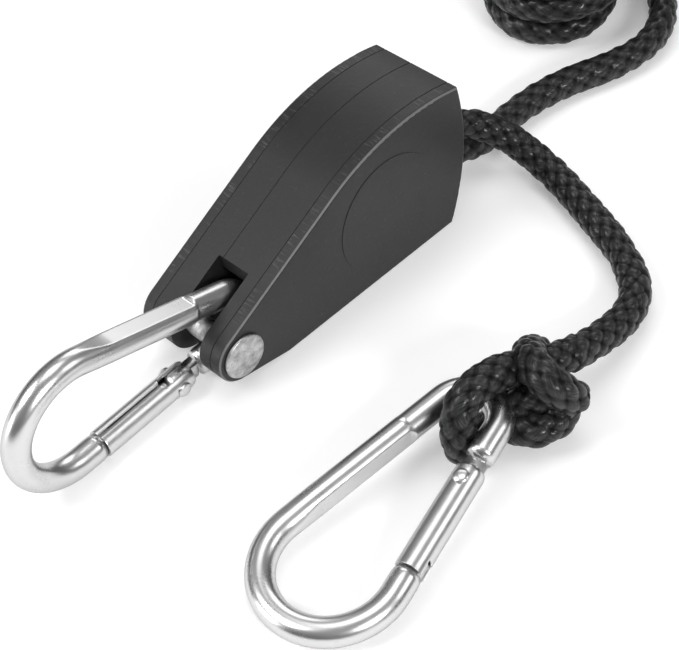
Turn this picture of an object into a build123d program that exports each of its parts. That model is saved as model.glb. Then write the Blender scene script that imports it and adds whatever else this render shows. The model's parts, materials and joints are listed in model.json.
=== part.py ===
"""Rope ratchet hanger: a two-shell pulley housing on a snap hook, with a braided rope and a load hook.

Frame: origin at the centre of the flat foot that the housing stands on, +X along the housing
towards the rope mouth, +Y through its thickness towards the back shell, +Z up.  Millimetres.
"""
import os
from math import asin, atan2, cos, degrees, radians, sin, sqrt, tan

from build123d import *

# ---------------------------------------------------------------- driving dimensions
# Housing
body_thickness = 22.0      # face to face, along Y
front_depth = 12.4         # depth of the front shell, its face to the seam
wall = 2.0                 # shell wall
blind_share = 0.6          # share of the wall left behind a blind bore
foot_length = 45.6         # flat foot under the housing
mouth_reach = 60.3         # rivet axis to the top corner at the rope mouth
corner_height = 31.9       # foot to that corner
top_slope = 27.5           # degrees, the straight back above the ears
top_flat = 32.5            # length of that straight back, before the crown's arc
mouth_bulge = 2.7          # how far the mouth end bows out of its chord
rim_round = 0.6            # rounding of the outer rims
parting_inset = 2.6        # line moulded round the edge, in from each face
parting_depth = 0.1
parting_width = 0.25
boss_swell = 0.1           # shallow disc on each face over the wheel
boss_swell_radius = 12.5
seam_gap = 0.12            # groove where the two shells meet

# Clevis
rivet_x = -33.4            # rivet axis from the middle of the foot
rivet_eye_gap = 0.08       # rivet to the wire under it
ear_radius = 5.8
front_ear = 5.6            # thickness of the front ear
slot_play = 2.64           # slot, wider than the hook's wire
slot_end = 8.5             # rivet axis to the flat end of the slot
pocket_play = 3.01         # pocket about the rivet axis, past the eye's outside
clevis_web = 2.4           # plastic between the pocket and the wheel chamber
rivet_radius = 2.4
rivet_head_radius = 4.65
rivet_head_height = 1.0

# Rope
rope_diameter = 6.4
rope_plane_y = -1.0        # the rope's plane in the housing

# Wheel
wheel_x = 6.0
wheel_z = 15.0
pitch_radius = 7.4
groove_clearance = 0.3
rim_radius = 11.4          # plain front flange
tooth_count = 12
tooth_tip_radius = 12.0
tooth_root_radius = 10.3
front_flange = 1.6
ratchet_flange = 2.6
axle_radius = 2.0
running_clearance = 0.05
axle_boss_wall = 1.8
groove_flare = 0.3         # how much wider the groove's mouth is, each side
side_play = 0.35           # wheel and pawl to their bosses
upper_strand_fall = 17.0   # degrees that the load strand falls inside the housing
mouth_strand_x = 26.0      # where the strands leave the housing

# Rope mouth
mouth_low = 3.3
mouth_high = 28.2
mouth_side_play = 1.0
mouth_round = 1.4

# Pawl
pawl_pin_x = 20.0
pawl_pin_z = 25.2
pawl_pin_radius = 1.25
pin_boss_wall = 1.2
pawl_hub_radius = 2.6
pawl_thickness = 2.0
pawl_contact_angle = 80.0  # where the tip meets a tooth, about the wheel's centre
pawl_tip_gap = 0.25
pawl_arm_height = 2.4
release_tab_reach = 11.2   # pin axis to the end of the release tab
release_tab_thickness = 1.5
release_tab_width = 8.0
release_tab_shift = 1.0    # tab's middle, behind the rope's plane
release_tab_drop = 0.4     # tab's underside, below the pin
pawl_heel = (4.5, 0.6)     # arm's lower corner, from the tip
spring_wire = 0.5
spring_coil_length = 2.4
spring_gap = 0.2           # coil to the hub
spring_pin_gap = 0.15      # coil to the pin

# Shell screws
screw_places = [(-16.0, 6.2), (-5.6, 25.2), (23.3, 29.0)]
screw_radius = 0.9
screw_head_radius = 1.8
screw_head_height = 1.2    # seat of the head, below the back face
screw_recess = 0.2
screw_boss_radius = 2.3
screw_bite = 5.0           # thread length in the front shell

# Snap hooks
wire_radius = 2.68
loop_radius = 12.29        # big arc, wire centreline
eye_radius = 6.11          # small arc, wire centreline
arc_spacing = 36.24        # between the arcs' centres
spine_thickness = 4.5      # the pressed spine, in the hook's plane
spine_flat_start = 7.2     # from the eye's centre
spine_flat_end = 24.0
spine_ramp = 4.0
hinge_from_eye = 11.04     # gate pin, along the hook from the eye's centre
shoulder_from_pin = 4.87   # where the round wire stops at the hinge end
nose_from_pin = 19.2       # where the round wire stops at the nose
tongue_thickness = 2.4
tongue_height = 3.6
root_overlap = 0.2         # how far the tongue and the tenon run into the wire
tenon_inset = 0.15         # tenon's outer side, in from the wire's surface
tenon_end_play = 0.3       # tenon's tip to the end of its slot in the gate
plunger_gap = 0.3          # tongue's rounded end to the plunger
gate_radius = 2.8
gate_sheet = 0.6
gate_tail = 3.2            # gate behind its pin
gate_length = 18.85        # pin to the gate's open end
gate_slit = 0.5
gate_window = 2.7
gate_window_end = 3.8
tenon_thickness = 2.0
tenon_length = 3.0
tenon_play = 0.25
gate_pin_radius = 0.8
gate_pin_head_radius = 1.35
gate_pin_head_height = 0.65
plunger_radius = 1.5
plunger_length = 4.2
gate_spring_radius = 1.85
gate_spring_wall = 0.45
gate_spring_length = 6.5

# How the hooks lie
floor_gap = 0.06
top_eye_shift = 2.0        # eye's centre from the rivet axis, towards the slot's end
top_eye_forward = 0.25     # eye's centre, in front of the slot's middle plane
top_yaw = 3.5
top_lean = 3.6
load_tilt = 6.0
load_yaw = 3.8
load_eye_x = -18.55
load_eye_y = -52.5

# Knot
knot_from_wire = 6.61      # knot's middle, from the wire of the hook's eye
knot_y = -58.0
knot_z = 8.5
knot_size = (12.0, 21.0, 15.0)
knot_turn = -29.0
knot_round = 4.5
eye_play = 1.46            # hook's eye, wider than the rope squeezed through it
loop_clearance = 0.37

# Free runs of the rope: corner points chosen by hand
load_line_route = [
    (33.0, -1.3, 14.4),
    (41.3, -6.4, 10.2),
    (44.0, -18.5, 3.8),
    (39.2, -33.0, 3.2),
    (34.4, -45.4, 3.2),
    (27.4, -54.6, 3.2),
    (16.0, -57.2, 4.4),
    (3.9, -57.0, 8.4),
]
tail_line_route = [
    (33.0, -1.0, 6.6),
    (42.0, -1.9, 3.3),
    (54.0, -0.6, 3.2),
    (66.5, -2.4, 3.2),
    (78.0, -7.4, 3.2),
    (89.0, -8.8, 3.2),
    (98.5, -5.0, 3.3),
    (105.5, 2.5, 4.2),
    (109.5, 9.0, 6.4),
]

# Hank
hank_length = 100.0
hank_width = 38.0
hank_height = 25.0
hank_round = 6.0
hank_centre = (114.7, 37.9)
hank_angle = 39.7
band_from_end = 30.0       # middle of the band, from the hank's near end
band_length = 20.0
band_width = 43.0
band_height = 33.0
band_round = 9.0

# ---------------------------------------------------------------- derived places
rivet_z = 2 * wire_radius + floor_gap + rivet_radius + rivet_eye_gap
slot_width = 2 * wire_radius + slot_play
loop_rope_diameter = 2 * (eye_radius - wire_radius) - eye_play
slot_pocket = eye_radius + wire_radius + pocket_play
front_y = -body_thickness / 2
back_y = body_thickness / 2
seam_y = front_y + front_depth
slot_front_y = front_y + front_ear
slot_back_y = slot_front_y + slot_width
rope_radius = rope_diameter / 2
groove_radius = rope_radius + groove_clearance
ratchet_front_y = rope_plane_y + groove_radius
ratchet_back_y = ratchet_front_y + ratchet_flange
wheel_front_y = rope_plane_y - groove_radius - front_flange
eye_half_angle = degrees(asin((loop_radius - eye_radius) / arc_spacing))


# ---------------------------------------------------------------- small helpers
def cylinder_y(x, z, radius, y_start, y_end):
    """A cylinder along Y between two planes."""
    disc = Plane.XZ.offset(-y_start) * Pos(x, z) * Circle(radius)
    return extrude(disc, amount=y_start - y_end)


def box_between(low, high):
    """An axis-aligned box from its two opposite corners."""
    size = [b - a for a, b in zip(low, high)]
    middle = [(a + b) / 2 for a, b in zip(low, high)]
    return Pos(*middle) * Box(*size)


def plate_y(face, y_start, y_end):
    """An XZ face given as seen from the front, made solid between two Y planes."""
    return extrude(Plane.XZ.offset(-y_start) * face, amount=y_start - y_end)


def cut_each(shape, tools):
    """Take the tools out of a shape one after another."""
    for tool in tools:
        shape = shape - tool
    return shape


def tube_along(path, diameter):
    """A round solid along a path."""
    start = Plane(origin=path @ 0, z_dir=path % 0)
    return sweep(start * Circle(diameter / 2), path=path)


def rope_path(points, name):
    """Straight runs joined by arcs as large as the runs allow; prints the radii in millimetres."""
    corners = [Vector(*point) for point in points]
    radii = []
    for before, here, after in zip(corners, corners[1:], corners[2:]):
        turn = (here - before).get_angle(after - here)
        shorter = min((here - before).length, (after - here).length)
        radii.append(0.45 * shorter / tan(radians(turn) / 2))
    print(name, "arc radii", [round(radius, 1) for radius in radii])
    return FilletPolyline(*corners, radius=radii)


# ---------------------------------------------------------------- housing
def body_outline():
    """The housing's side view, in X and Z."""
    slope = radians(top_slope)
    tangent = Vector(cos(slope), sin(slope))
    upper = Vector(rivet_x - ear_radius * sin(slope), rivet_z + ear_radius * cos(slope))
    crown_start = upper + tangent * top_flat
    corner = Vector(rivet_x + mouth_reach, corner_height)
    heel = (-foot_length / 2, 0.0)
    toe = (foot_length / 2, 0.0)
    reach = sqrt((heel[0] - rivet_x) ** 2 + rivet_z ** 2)
    lower_angle = atan2(-rivet_z, heel[0] - rivet_x) - (radians(90) - asin(ear_radius / reach))
    lower = (rivet_x + ear_radius * cos(lower_angle), rivet_z + ear_radius * sin(lower_angle))
    middle = ((corner.X + toe[0]) / 2 + mouth_bulge, corner.Y / 2)
    return make_face(Wire([
        Line(upper, crown_start),
        TangentArc(crown_start, corner, tangent=tangent),
        ThreePointArc(corner, middle, toe),
        Line(toe, heel),
        Line(heel, lower),
        ThreePointArc(lower, (rivet_x - ear_radius, rivet_z), upper),
    ]))


def chamber_outline(outline):
    """The hollow for the wheel and the pawl: the outline less its wall, clear of the clevis."""
    inner = offset(outline, amount=-wall, kind=Kind.INTERSECTION)
    start = rivet_x + slot_pocket + clevis_web
    keep = Pos(start + mouth_reach, corner_height / 2) * Rectangle(2 * mouth_reach, 4 * corner_height)
    return inner & keep


def slot_cut():
    """The gap between the ears, with a round pocket behind the rivet for the hook's eye."""
    pocket = cylinder_y(rivet_x, rivet_z, slot_pocket, slot_front_y, slot_back_y)
    ahead = box_between(
        (rivet_x - 2 * ear_radius, slot_front_y, -1.0),
        (rivet_x + slot_end, slot_back_y, corner_height),
    )
    return pocket + ahead


def mouth_cut():
    """The rounded window that the rope and the release tab leave by."""
    low_y = rope_plane_y - rope_radius - mouth_side_play
    high_y = ratchet_back_y + mouth_side_play
    window = RectangleRounded(high_y - low_y, mouth_high - mouth_low, mouth_round)
    start = Plane.YZ.offset(mouth_strand_x - 3 * wall)
    return extrude(start * Pos((low_y + high_y) / 2, (mouth_low + mouth_high) / 2) * window, amount=8 * wall)


def rim_lines(outline):
    """Thin grooves round the edge: one near each face and one at the seam."""
    ring = outline - offset(outline, amount=-parting_depth, kind=Kind.INTERSECTION)
    places = [
        (front_y + parting_inset, front_y + parting_inset + parting_width),
        (back_y - parting_inset - parting_width, back_y - parting_inset),
        (seam_y - seam_gap, seam_y + seam_gap),
    ]
    return [plate_y(ring, start, end) for start, end in places]


def fixed_posts():
    """Posts inside the shells round the axle, the pawl pin and the screws, as (x, z, radius, y, y)."""
    hub_radius = axle_radius + axle_boss_wall
    pin_boss = pawl_pin_radius + pin_boss_wall
    front_wall = front_y + wall / 2
    back_wall = back_y - wall / 2
    front_posts = [
        (wheel_x, wheel_z, hub_radius, front_wall, wheel_front_y - side_play),
        (pawl_pin_x, pawl_pin_z, pin_boss, front_wall, spring_front_y() - side_play),
    ]
    back_posts = [
        (wheel_x, wheel_z, hub_radius, ratchet_back_y + side_play, back_wall),
        (pawl_pin_x, pawl_pin_z, pin_boss, pawl_back_y() + side_play, back_wall),
    ]
    for x, z in screw_places:
        front_posts.append((x, z, screw_boss_radius, front_wall, seam_y))
        back_posts.append((x, z, screw_boss_radius, seam_y, back_wall))
    return front_posts, back_posts


def pawl_front_y():
    """Front of the pawl's hub."""
    return rope_plane_y - release_tab_width / 2 + release_tab_shift


def pawl_back_y():
    """Back of the pawl's hub."""
    return ratchet_back_y


def spring_front_y():
    """Front of the spring's coil, next to the hub."""
    return pawl_front_y() - spring_coil_length - spring_gap


def bored(shell):
    """A shell with the holes for the rivet, the axle and the pawl pin."""
    skin = wall * blind_share
    holes = [
        cylinder_y(rivet_x, rivet_z, rivet_radius, front_y - 1, back_y + 1),
        cylinder_y(wheel_x, wheel_z, axle_radius, front_y + skin, back_y - skin),
        cylinder_y(pawl_pin_x, pawl_pin_z, pawl_pin_radius, front_y + skin, back_y - skin),
    ]
    return shell - holes


def make_shells():
    """The two halves of the housing."""
    outline = body_outline()
    chamber = chamber_outline(outline)
    front_posts, back_posts = fixed_posts()
    front = plate_y(outline, front_y, seam_y)
    front = fillet(front.faces().sort_by(Axis.Y)[0].edges(), rim_round)
    front += cylinder_y(wheel_x, wheel_z, boss_swell_radius, front_y - boss_swell, front_y + wall / 2)
    front -= plate_y(chamber, front_y + wall, seam_y)
    front += [cylinder_y(*post) for post in front_posts]
    back = plate_y(outline, seam_y, back_y)
    back = fillet(back.faces().sort_by(Axis.Y)[-1].edges(), rim_round)
    back += cylinder_y(wheel_x, wheel_z, boss_swell_radius, back_y - wall / 2, back_y + boss_swell)
    back -= plate_y(chamber, seam_y, back_y - wall)
    back += [cylinder_y(*post) for post in back_posts]
    tools = [slot_cut(), mouth_cut()] + rim_lines(outline) + make_screws()
    return cut_each(bored(front), tools), cut_each(bored(back), tools)


def make_rivet():
    """The clevis rivet, a shaft with two domed heads."""
    crown_height = rivet_head_height * 0.6
    rim_height = rivet_head_height - crown_height
    dome_radius = (rivet_head_radius ** 2 + crown_height ** 2) / (2 * crown_height)
    shaft = cylinder_y(rivet_x, rivet_z, rivet_radius, front_y - rim_height, back_y + rim_height)
    for face_y, way in ((front_y, -1), (back_y, 1)):
        outer_y = face_y + way * rim_height
        crown_y = face_y + way * rivet_head_height
        rim = cylinder_y(rivet_x, rivet_z, rivet_head_radius, min(face_y, outer_y), max(face_y, outer_y))
        dome = Pos(rivet_x, crown_y - way * dome_radius, rivet_z) * Sphere(dome_radius)
        cap = cylinder_y(rivet_x, rivet_z, rivet_head_radius, min(outer_y, crown_y), max(outer_y, crown_y))
        shaft = shaft + rim + (dome & cap)
    return shaft


def make_screws():
    """Self-tapping screws put in from the back."""
    screws = []
    for x, z in screw_places:
        shank = cylinder_y(x, z, screw_radius, seam_y - screw_bite, back_y - screw_head_height)
        head = cylinder_y(x, z, screw_head_radius, back_y - screw_head_height, back_y - screw_recess)
        screws.append(shank + head)
    return screws


# ---------------------------------------------------------------- wheel, axle, pawl
def ratchet_outline():
    """Teeth whose steep sides face the way the load turns the wheel."""
    corners = []
    for tooth in range(tooth_count):
        angle = radians(pawl_contact_angle + 360 * tooth / tooth_count)
        corners.append((tooth_root_radius * cos(angle), tooth_root_radius * sin(angle)))
        corners.append((tooth_tip_radius * cos(angle), tooth_tip_radius * sin(angle)))
    return Pos(wheel_x, wheel_z) * make_face(Polyline(*corners, close=True))


def make_wheel():
    """The grooved rope wheel with its ratchet teeth on the back flange."""
    wheel = cylinder_y(wheel_x, wheel_z, rim_radius, wheel_front_y, rope_plane_y + groove_radius)
    wheel += plate_y(ratchet_outline(), ratchet_front_y, ratchet_back_y)
    mouth_half = groove_radius + groove_flare
    flank = Polyline(
        (pitch_radius, -groove_radius),
        (rim_radius + 1, -mouth_half),
        (rim_radius + 1, groove_radius),
        (pitch_radius, groove_radius),
        close=True,
    )
    section = make_face(flank) + Pos(pitch_radius, 0) * Circle(groove_radius)
    groove = revolve(section, axis=Axis.Y)
    wheel -= Pos(wheel_x, rope_plane_y, wheel_z) * groove
    return wheel - cylinder_y(wheel_x, wheel_z, axle_radius + running_clearance, front_y, back_y)


def make_axle():
    """The wheel's axle, held in blind bosses."""
    skin = wall * blind_share
    return cylinder_y(wheel_x, wheel_z, axle_radius, front_y + skin, back_y - skin)


def make_pawl():
    """The pawl: a hub on its pin, an arm to the teeth and a release tab out of the mouth."""
    angle = radians(pawl_contact_angle)
    tip_radius = tooth_root_radius + pawl_tip_gap
    radial = (cos(angle), sin(angle))
    along = (sin(angle), -cos(angle))
    tip_low = (
        wheel_x + tip_radius * radial[0] + pawl_tip_gap * along[0],
        wheel_z + tip_radius * radial[1] + pawl_tip_gap * along[1],
    )
    tip_high = (tip_low[0] + pawl_arm_height * radial[0], tip_low[1] + pawl_arm_height * radial[1])
    arm = make_face(Polyline(
        tip_low,
        tip_high,
        (pawl_pin_x, pawl_pin_z + pawl_hub_radius),
        (pawl_pin_x, pawl_pin_z - pawl_hub_radius / 2),
        (tip_low[0] + pawl_heel[0], tip_low[1] + pawl_heel[1]),
        close=True,
    ))
    arm_back = ratchet_back_y
    arm_front = arm_back - pawl_thickness
    pawl = cylinder_y(pawl_pin_x, pawl_pin_z, pawl_hub_radius, pawl_front_y(), pawl_back_y())
    pawl += plate_y(arm, arm_front, arm_back)
    tab_low = pawl_pin_z - release_tab_drop
    tab = box_between(
        (pawl_pin_x, pawl_front_y(), tab_low),
        (pawl_pin_x + release_tab_reach, pawl_front_y() + release_tab_width, tab_low + release_tab_thickness),
    )
    pawl += tab
    return pawl - cylinder_y(pawl_pin_x, pawl_pin_z, pawl_pin_radius + running_clearance, front_y, back_y)


def make_pawl_pin():
    """The pawl's pin, held in blind bosses."""
    skin = wall * blind_share
    return cylinder_y(pawl_pin_x, pawl_pin_z, pawl_pin_radius, front_y + skin, back_y - skin)


def make_pawl_spring():
    """The torsion spring's closed coil round the pin."""
    inner = pawl_pin_radius + spring_pin_gap
    start = spring_front_y()
    coil = cylinder_y(pawl_pin_x, pawl_pin_z, inner + spring_wire, start, start + spring_coil_length)
    return coil - cylinder_y(pawl_pin_x, pawl_pin_z, inner, front_y, back_y)


# ---------------------------------------------------------------- snap hooks
# Hook frame: origin at the eye's centre, +X towards the big loop, +Y towards the spine.
def gate_place():
    """The gate's frame in the hook's: origin on the pin, +X towards the nose, +Y inwards."""
    start = Vector(-eye_radius * sin(radians(eye_half_angle)), -eye_radius * cos(radians(eye_half_angle)))
    run = (hinge_from_eye - start.X) / cos(radians(eye_half_angle))
    pin_y = start.Y - run * sin(radians(eye_half_angle))
    return Location((hinge_from_eye, pin_y, 0), (0, 0, -eye_half_angle))


def wire_path():
    """The wire's centreline from the nose round the big loop, the spine and the eye to the hinge."""
    place = gate_place()
    nose = (place * Location((nose_from_pin, 0, 0))).position
    hinge = (place * Location((-shoulder_from_pin, 0, 0))).position
    lean = radians(eye_half_angle)
    big = Vector(arc_spacing, 0)
    big_gate = big + Vector(-sin(lean), -cos(lean)) * loop_radius
    big_spine = big + Vector(-sin(lean), cos(lean)) * loop_radius
    eye_gate = Vector(-sin(lean), -cos(lean)) * eye_radius
    eye_spine = Vector(-sin(lean), cos(lean)) * eye_radius
    return Wire([
        Line(nose, big_gate),
        ThreePointArc(big_gate, big + Vector(loop_radius, 0), big_spine),
        Line(big_spine, eye_spine),
        ThreePointArc(eye_spine, Vector(-eye_radius, 0), eye_gate),
        Line(eye_gate, hinge),
    ])


def spine_press():
    """Two tools that press the spine thin between the eye and the loop."""
    lean = radians(eye_half_angle)
    start = Vector(-sin(lean), cos(lean)) * eye_radius
    place = Location((start.X, start.Y, 0), (0, 0, eye_half_angle))
    begin = (spine_flat_start - start.X) / cos(lean)
    end = (spine_flat_end - start.X) / cos(lean)
    half = spine_thickness / 2
    far = 2 * wire_radius
    tools = []
    for side in (1, -1):
        profile = Polyline(
            (begin, side * half),
            (end, side * half),
            (end + spine_ramp, side * far * 0.55),
            (end, side * far),
            (begin, side * far),
            close=True,
        )
        tools.append(place * extrude(make_face(profile), amount=far, both=True))
    return tools


def make_hook_frame():
    """The bent wire with its pressed spine, hinge tongue and nose tenon."""
    place = gate_place()
    frame = tube_along(wire_path(), 2 * wire_radius) - spine_press()
    tongue_length = shoulder_from_pin + root_overlap
    tongue = Pos(-shoulder_from_pin / 2, 0, 0) * Box(tongue_length, tongue_height, tongue_thickness)
    tip = Cylinder(tongue_height / 2, tongue_thickness)
    hole = Cylinder(gate_pin_radius + running_clearance, 2 * tongue_thickness)
    tenon_high = gate_radius - gate_sheet - tenon_play
    tenon = box_between(
        (nose_from_pin - tenon_length, -wire_radius + tenon_inset, -tenon_thickness / 2),
        (nose_from_pin + root_overlap, tenon_high, tenon_thickness / 2),
    )
    return frame + place * (tongue + tip + tenon) - place * hole


def make_gate():
    """The folded gate: a slit tube over the hinge tongue and the nose tenon."""
    along = Rotation(0, 90, 0)
    length = gate_tail + gate_length
    middle = (gate_length - gate_tail) / 2
    inner_radius = gate_radius - gate_sheet
    tube = Pos(middle, 0, 0) * along * Cylinder(gate_radius, length)
    bore = Pos(middle, 0, 0) * along * Cylinder(inner_radius, length + 2)
    slit = box_between((-gate_tail - 1, 0, -gate_slit / 2), (gate_length + 1, 2 * gate_radius, gate_slit / 2))
    window = box_between(
        (-gate_tail - 1, 0, -gate_window / 2),
        (gate_window_end, 2 * gate_radius, gate_window / 2),
    )
    slot_half = tenon_thickness / 2 + tenon_play
    slot = box_between(
        (nose_from_pin - tenon_length - tenon_end_play, -2 * gate_radius, -slot_half),
        (gate_length + 1, 0, slot_half),
    )
    hole = Cylinder(gate_pin_radius, 4 * gate_radius)
    return gate_place() * (tube - bore - slit - window - slot - hole)


def make_gate_pin():
    """The gate's pin with a domed head each side."""
    shaft = Cylinder(gate_pin_radius, 2 * gate_radius)
    dome_radius = (gate_pin_head_radius ** 2 + gate_pin_head_height ** 2) / (2 * gate_pin_head_height)
    ball = Sphere(dome_radius)
    for side in (1, -1):
        inner = side * gate_radius
        outer = side * (gate_radius + gate_pin_head_height)
        reach = gate_pin_head_radius
        keep = box_between((-reach, -reach, min(inner, outer)), (reach, reach, max(inner, outer)))
        shaft += (Pos(0, 0, outer - side * dome_radius) * ball) & keep
    return gate_place() * shaft


def make_plunger():
    """The plunger that the gate's spring drives against the hinge tongue."""
    start = tongue_height / 2 + plunger_gap
    rod = Pos(start + plunger_length / 2, 0, 0) * Rotation(0, 90, 0) * Cylinder(plunger_radius, plunger_length)
    return gate_place() * rod


def make_gate_spring():
    """The gate's closed coil, behind the plunger."""
    start = tongue_height / 2 + plunger_gap + plunger_length
    place = Pos(start + gate_spring_length / 2, 0, 0) * Rotation(0, 90, 0)
    outer = Cylinder(gate_spring_radius, gate_spring_length)
    inner = Cylinder(gate_spring_radius - gate_spring_wall, gate_spring_length)
    return gate_place() * place * (outer - inner)


def top_hook_place():
    """The top hook on the rivet, its big loop on the floor."""
    eye_z = eye_radius + wire_radius + floor_gap
    loop_z = loop_radius + wire_radius + floor_gap
    raise_angle = degrees(asin((loop_z - eye_z) / arc_spacing))
    eye = (rivet_x + top_eye_shift, slot_back_y - slot_width / 2 - top_eye_forward, eye_z)
    turn = Rotation(0, 0, top_yaw) * Rotation(0, raise_angle, 0)
    flat = Location(Plane(origin=(0, 0, 0), x_dir=(-1, 0, 0), z_dir=(0, 1, 0)))
    return Pos(*eye) * turn * flat * Rotation(-top_lean, 0, 0)


def load_hook_place():
    """The load hook on the floor, its eye lifted by the rope under it."""
    lift = (arc_spacing + loop_radius) * sin(radians(load_tilt))
    eye = (load_eye_x, load_eye_y, wire_radius + floor_gap + lift)
    turn = Rotation(0, 0, load_yaw) * Rotation(0, -load_tilt, 0)
    flat = Location(Plane(origin=(0, 0, 0), x_dir=(-1, 0, 0), z_dir=(0, 0, -1)))
    return Pos(*eye) * turn * flat


# ---------------------------------------------------------------- rope
def upper_exit():
    """Where the load strand leaves the housing, and its direction."""
    fall = radians(upper_strand_fall)
    start_x = wheel_x + pitch_radius * sin(fall)
    start_z = wheel_z + pitch_radius * cos(fall)
    drop = (mouth_strand_x - start_x) * tan(fall)
    return (start_x, rope_plane_y, start_z), (mouth_strand_x, rope_plane_y, start_z - drop)


def lower_exit():
    """Where the tail strand leaves the housing."""
    return (mouth_strand_x, rope_plane_y, wheel_z - pitch_radius)


def make_rope_in_housing():
    """The rope from one side of the mouth round the wheel to the other."""
    leave, mouth = upper_exit()
    bottom = (wheel_x, rope_plane_y, wheel_z - pitch_radius)
    left = (wheel_x - pitch_radius, rope_plane_y, wheel_z)
    path = Wire([Line(mouth, leave), ThreePointArc(leave, left, bottom), Line(bottom, lower_exit())])
    return tube_along(path, rope_diameter)


def make_load_line():
    """The rope from the mouth to the knot."""
    path = rope_path([upper_exit()[1]] + load_line_route, "load line")
    return tube_along(path, rope_diameter), path.length


def make_tail_line():
    """The rope from the mouth to the hank."""
    path = rope_path([lower_exit()] + tail_line_route, "tail line")
    return tube_along(path, rope_diameter), path.length


def eye_tip():
    """The middle of the wire at the far end of the load hook's eye."""
    return (load_hook_place() * Location((-eye_radius, 0, 0))).position


def make_knot():
    """The knot's outer shape, with the loop that holds the load hook's eye."""
    tip = eye_tip()
    around = wire_radius + loop_clearance + loop_rope_diameter / 2
    over = tip + Vector(0, 0, around)
    under = tip - Vector(0, 0, around)
    inside = tip - Vector(around, 0, 0)
    centre = (tip.X + wire_radius + knot_from_wire, knot_y, knot_z)
    strand = Vector(centre[0] - tip.X, 0, 0)
    path = Wire([Line(over + strand, over), ThreePointArc(over, inside, under), Line(under, under + strand)])
    body = Box(*knot_size)
    body = fillet(body.edges(), knot_round)
    return Pos(*centre) * Rotation(0, 0, knot_turn) * body + tube_along(path, loop_rope_diameter)


def make_hank():
    """The outer shape of the wound rope with the band of turns round its middle."""
    bundle = extrude(SlotOverall(hank_length, hank_width), amount=hank_height)
    bundle = fillet(bundle.faces().sort_by(Axis.Z)[0].edges(), hank_round)
    bundle = fillet(bundle.faces().sort_by(Axis.Z)[-1].edges(), hank_round)
    band = Plane.YZ * Pos(0, band_height / 2) * RectangleRounded(band_width, band_height, band_round)
    place = Pos(band_from_end - hank_length / 2, 0, 0)
    bundle += place * extrude(band, amount=band_length / 2, both=True)
    return Pos(*hank_centre) * Rotation(0, 0, hank_angle) * bundle


# ---------------------------------------------------------------- write the nodes
def main():
    """Build every node and write its STEP file."""
    os.makedirs("parts", exist_ok=True)
    front, back = make_shells()
    nodes = {
        "front_shell": front,
        "back_shell": back,
        "clevis_rivet": make_rivet(),
        "shell_screws": Compound(make_screws()),
        "rope_wheel": make_wheel(),
        "wheel_axle": make_axle(),
        "pawl": make_pawl(),
        "pawl_pin": make_pawl_pin(),
        "pawl_spring": make_pawl_spring(),
        "rope_in_housing": make_rope_in_housing(),
        "rope_load_line": make_load_line()[0],
        "rope_tail_line": make_tail_line()[0],
        "rope_knot": make_knot(),
        "rope_hank": make_hank(),
    }
    for name, place in (("top_hook", top_hook_place()), ("load_hook", load_hook_place())):
        nodes[name + "_frame"] = place * make_hook_frame()
        nodes[name + "_gate"] = place * make_gate()
        nodes[name + "_gate_pin"] = place * make_gate_pin()
        nodes[name + "_plunger"] = place * make_plunger()
        nodes[name + "_gate_spring"] = place * make_gate_spring()
    for name, shape in nodes.items():
        export_step(shape, "parts/" + name + ".step")


main()
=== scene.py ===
"""Rope ratchet hanger: the visual model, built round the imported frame.

Everything is in metres in the frame's own axes.  Sizes given in millimetres are turned into metres
by MM as they are used.
"""
import json
import logging
import math
from contextlib import contextmanager
from dataclasses import dataclass, field
from enum import Enum
from typing import Any, Callable, Iterator, Sequence

import bmesh
import bpy
import numpy as np
from mathutils import Matrix, Vector


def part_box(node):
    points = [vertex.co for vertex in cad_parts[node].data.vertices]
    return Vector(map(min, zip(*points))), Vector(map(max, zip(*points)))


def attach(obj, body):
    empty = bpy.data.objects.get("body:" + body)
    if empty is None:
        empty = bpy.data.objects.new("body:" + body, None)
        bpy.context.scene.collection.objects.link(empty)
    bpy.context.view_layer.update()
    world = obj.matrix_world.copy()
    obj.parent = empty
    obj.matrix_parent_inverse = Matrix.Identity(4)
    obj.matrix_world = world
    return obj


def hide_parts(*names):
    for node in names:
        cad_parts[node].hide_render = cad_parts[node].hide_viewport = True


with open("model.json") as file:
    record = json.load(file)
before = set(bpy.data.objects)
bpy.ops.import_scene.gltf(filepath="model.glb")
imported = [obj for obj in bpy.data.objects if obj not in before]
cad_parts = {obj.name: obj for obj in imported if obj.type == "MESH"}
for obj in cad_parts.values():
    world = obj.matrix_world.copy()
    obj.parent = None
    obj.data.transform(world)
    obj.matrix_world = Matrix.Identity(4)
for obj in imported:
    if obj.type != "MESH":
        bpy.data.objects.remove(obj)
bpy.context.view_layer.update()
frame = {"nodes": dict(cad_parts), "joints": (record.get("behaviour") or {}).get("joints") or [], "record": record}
MM = 0.001
LOG = logging.getLogger("rope_ratchet_hanger")
Points = np.ndarray
Faces = list[tuple[int, ...]]


def eased(share: Any) -> Any:
    """A share from 0 to 1, made slow at both ends."""
    return share * share * (3 - 2 * share)


# ---------------------------------------------------------------- meshes
def mesh_object(name: str, points: Points, faces: Faces, smooth: bool = True) -> bpy.types.Object:
    """Make a mesh object at the origin.

    Args:
        name: The piece's name.
        points: One row per vertex, in metres.
        faces: Vertex numbers of each face.
        smooth: Whether the faces are shaded smooth.

    Returns:
        The new object, linked to the scene.
    """
    mesh = bpy.data.meshes.new(name)
    mesh.from_pydata([tuple(p) for p in points], [], faces)
    mesh.validate()
    mesh.polygons.foreach_set("use_smooth", [smooth] * len(mesh.polygons))
    mesh.update()
    piece = bpy.data.objects.new(name, mesh)
    bpy.context.scene.collection.objects.link(piece)
    return piece


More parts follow.
